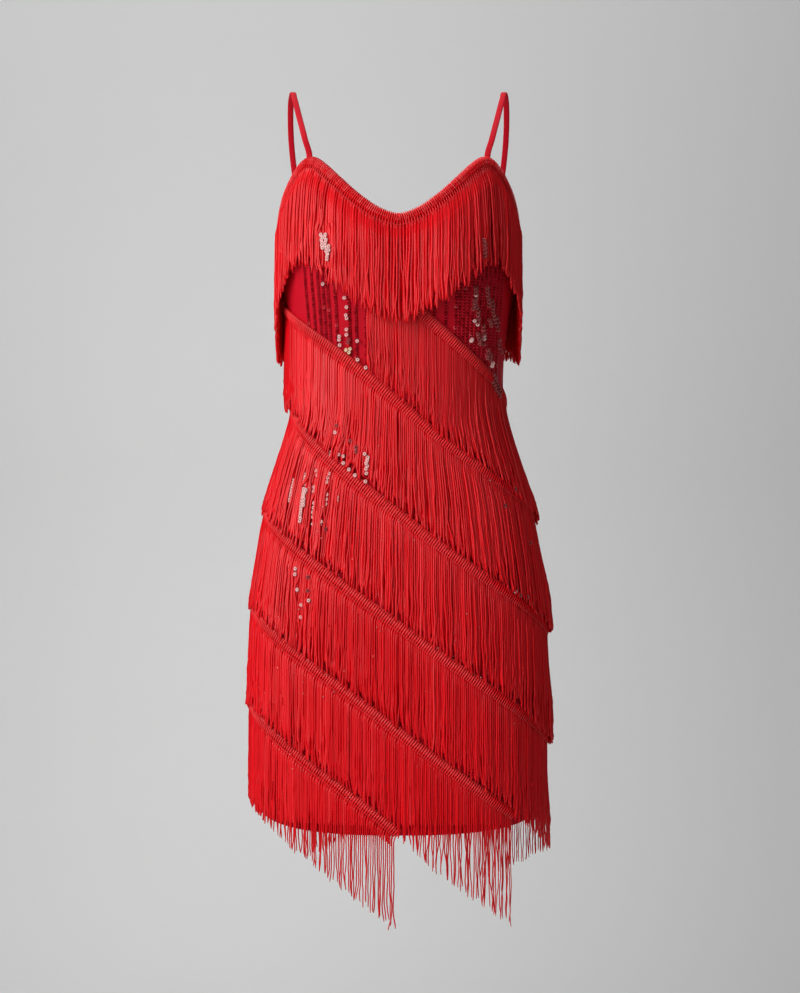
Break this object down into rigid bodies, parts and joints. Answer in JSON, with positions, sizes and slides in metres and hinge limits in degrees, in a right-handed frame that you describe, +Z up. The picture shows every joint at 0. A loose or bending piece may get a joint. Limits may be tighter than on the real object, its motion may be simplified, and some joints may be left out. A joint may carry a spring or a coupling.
{
  "type": "fringe dance dress",
  "caption": "Short sleeveless dance dress with spaghetti straps, a fringed neckline and slanting rows of hanging fringe down to an uneven fringed hem.",
  "frame": {"origin": "midway between the tops of the two straps, on their undersides, where they rest on the wearer's shoulders", "axes": "+X to the wearer's left, which is the right of the picture, +Y from the front of the dress to its back, +Z up along the wearer's body"},
  "size_m": [0.3445, 0.2506, 0.9449],
  "materials": {
    "stretch_cloth": "crimson stretch knit with a soft sheen",
    "strap_cloth": "crimson stretch knit, folded and stitched",
    "fringe_yarn": "red twisted rayon yarn with a silky sheen"
  },
  "bodies": {
    "root": {"front_panel": "stretch_cloth", "back_panel": "stretch_cloth", "strap_left": "strap_cloth", "strap_right": "strap_cloth", "fringe_neck": "fringe_yarn", "fringe_back_top": "fringe_yarn", "fringe_spiral_1": "fringe_yarn", "fringe_spiral_2": "fringe_yarn", "fringe_spiral_3": "fringe_yarn", "fringe_spiral_4": "fringe_yarn"}
  },
  "joints": []
}
